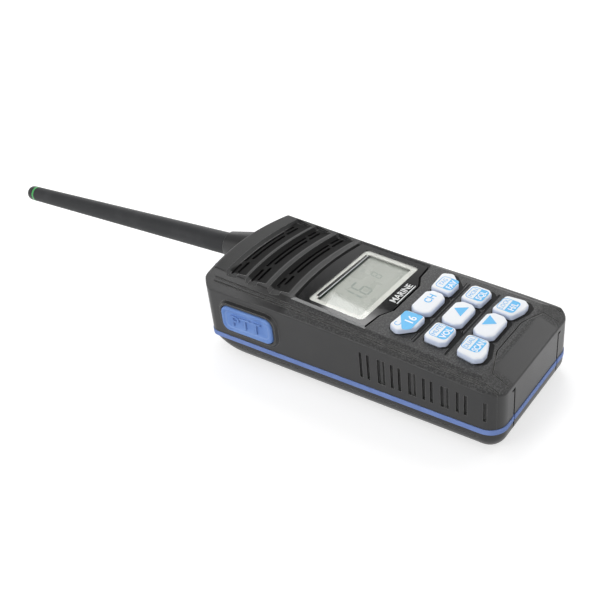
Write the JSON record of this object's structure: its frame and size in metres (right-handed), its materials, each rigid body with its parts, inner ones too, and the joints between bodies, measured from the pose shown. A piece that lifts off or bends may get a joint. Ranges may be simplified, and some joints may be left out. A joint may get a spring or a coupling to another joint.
{
  "type": "handheld VHF marine radio",
  "caption": "Handheld marine radio lying on its back, with screw-in antenna, speaker louvres, display, rubber-sprung keypad, side talk button and a battery pack in its back.",
  "frame": {"origin": "middle of the flat back, where the radio rests", "axes": "+Y from the tail end to the antenna, +Z out of the front with the keys, +X to the side away from the talk button"},
  "size_m": [0.0642, 0.3101, 0.0397],
  "materials": {
    "case_black": "fine moulded texture",
    "band_blue": "satin",
    "seal_black": "matt",
    "lens_black": "gloss",
    "window_clear": "clear",
    "border_silver": "satin print",
    "lcd_grey": "glass with a polariser",
    "light_guide": "frosted",
    "mat_rubber": "matt",
    "spring_steel": "bright",
    "board_green": "solder mask",
    "shield_tin": "tin plate",
    "cast_aluminium": "die cast",
    "mesh_black": "woven mesh",
    "speaker_black": "satin",
    "speaker_cone": "film",
    "magnet_steel": "plated",
    "key_white": "satin",
    "ptt_blue": "satin, moulded texture",
    "brass": "turned",
    "antenna_rubber": "satin",
    "ring_green": "gloss",
    "tip_black": "gloss",
    "lead_black": "cable jacket",
    "jack_black": "moulded",
    "cap_black": "moulded",
    "battery_black": "fine moulded texture",
    "cell_foil": "foil",
    "gold_contact": "gold plate",
    "screw_steel": "stainless"
  },
  "bodies": {
    "radio": {"front_shell": "case_black", "back_shell": "case_black", "trim_band": "band_blue", "shell_seal": "seal_black", "lens_panel": "lens_black", "display_window": "window_clear", "window_frame": "border_silver", "lcd_glass": "lcd_grey", "lcd_backlight": "light_guide", "keypad_mat": "mat_rubber", "key_domes": "spring_steel", "main_board": "board_green", "rf_shield": "shield_tin", "chassis": "cast_aluminium", "speaker_membrane": "mesh_black", "speaker_frame": "speaker_black", "speaker_cone": "speaker_cone", "speaker_magnet": "magnet_steel", "microphone": "shield_tin", "ptt_boot": "mat_rubber", "ptt_switch": "spring_steel", "ptt_board": "board_green", "antenna_socket": "brass", "antenna_lead": "lead_black", "jack_socket": "jack_black", "contact_block": "jack_black", "lock_insert": "brass", "shell_screws": "screw_steel", "shell_inserts": "brass", "clip_inserts": "brass"},
    "ptt": {"ptt_button": "ptt_blue"},
    "antenna": {"antenna_connector": "brass", "antenna_seal": "seal_black", "antenna_whip": "antenna_rubber", "antenna_ring": "ring_green", "antenna_tip": "tip_black"},
    "cap": {"jack_cap": "cap_black", "jack_cap_seal": "seal_black"},
    "battery": {"battery_case": "battery_black", "battery_lid": "battery_black", "battery_cells": "cell_foil", "battery_contacts": "gold_contact", "battery_seal": "seal_black", "charge_pads": "gold_contact"},
    "lock": {"lock_screw": "screw_steel"},
    "key_16_cap": {"key_16": "key_white"},
    "key_channel_cap": {"key_channel": "key_white"},
    "key_favourite_cap": {"key_favourite": "key_white"},
    "key_volume_cap": {"key_volume": "key_white"},
    "key_up_cap": {"key_up": "key_white"},
    "key_squelch_cap": {"key_squelch": "key_white"},
    "key_scan_cap": {"key_scan": "key_white"},
    "key_down_cap": {"key_down": "key_white"},
    "key_power_level_cap": {"key_power_level": "key_white"}
  },
  "joints": [
    {"name": "key_16_press", "type": "slide", "parent": "radio", "child": "key_16_cap", "axis": [0, 0.0828, -0.9966], "range_m": [0, 0.0008], "stiffness_N_per_m": 1500, "springref_m": -0.0005},
    {"name": "key_channel_press", "type": "slide", "parent": "radio", "child": "key_channel_cap", "axis": [0, 0.0828, -0.9966], "range_m": [0, 0.0008], "stiffness_N_per_m": 1500, "springref_m": -0.0005},
    {"name": "key_favourite_press", "type": "slide", "parent": "radio", "child": "key_favourite_cap", "axis": [0, 0.0828, -0.9966], "range_m": [0, 0.0008], "stiffness_N_per_m": 1500, "springref_m": -0.0005},
    {"name": "key_volume_press", "type": "slide", "parent": "radio", "child": "key_volume_cap", "axis": [0, 0.0828, -0.9966], "range_m": [0, 0.0008], "stiffness_N_per_m": 1500, "springref_m": -0.0005},
    {"name": "key_up_press", "type": "slide", "parent": "radio", "child": "key_up_cap", "axis": [0, 0.0828, -0.9966], "range_m": [0, 0.0008], "stiffness_N_per_m": 1500, "springref_m": -0.0005},
    {"name": "key_squelch_press", "type": "slide", "parent": "radio", "child": "key_squelch_cap", "axis": [0, 0.0828, -0.9966], "range_m": [0, 0.0008], "stiffness_N_per_m": 1500, "springref_m": -0.0005},
    {"name": "key_scan_press", "type": "slide", "parent": "radio", "child": "key_scan_cap", "axis": [0, 0.0828, -0.9966], "range_m": [0, 0.0008], "stiffness_N_per_m": 1500, "springref_m": -0.0005},
    {"name": "key_down_press", "type": "slide", "parent": "radio", "child": "key_down_cap", "axis": [0, 0.0828, -0.9966], "range_m": [0, 0.0008], "stiffness_N_per_m": 1500, "springref_m": -0.0005},
    {"name": "key_power_level_press", "type": "slide", "parent": "radio", "child": "key_power_level_cap", "axis": [0, 0.0828, -0.9966], "range_m": [0, 0.0008], "stiffness_N_per_m": 1500, "springref_m": -0.0005},
    {"name": "ptt_press", "type": "slide", "parent": "radio", "child": "ptt", "axis": [1, 0, 0], "range_m": [0, 0.0012], "stiffness_N_per_m": 2500, "springref_m": -0.0005},
    {"name": "antenna_unscrew", "type": "hinge", "parent": "radio", "child": "antenna", "pos_m": [0.012, 0.069, 0.0248], "axis": [0, 0.9995, -0.0332], "range_deg": [0, 1080]},
    {"name": "jack_cap_unscrew", "type": "hinge", "parent": "radio", "child": "cap", "pos_m": [-0.012, 0.069, 0.024], "axis": [0, 1, 0], "range_deg": [0, 720]},
    {"name": "battery_out", "type": "slide", "parent": "radio", "child": "battery", "axis": [0, 0, -1], "range_m": [0, 0.022]},
    {"name": "lock_turn", "type": "hinge", "parent": "battery", "child": "lock", "pos_m": [0, -0.0535, 0.002], "axis": [0, 0, -1], "range_deg": [0, 720]}
  ]
}
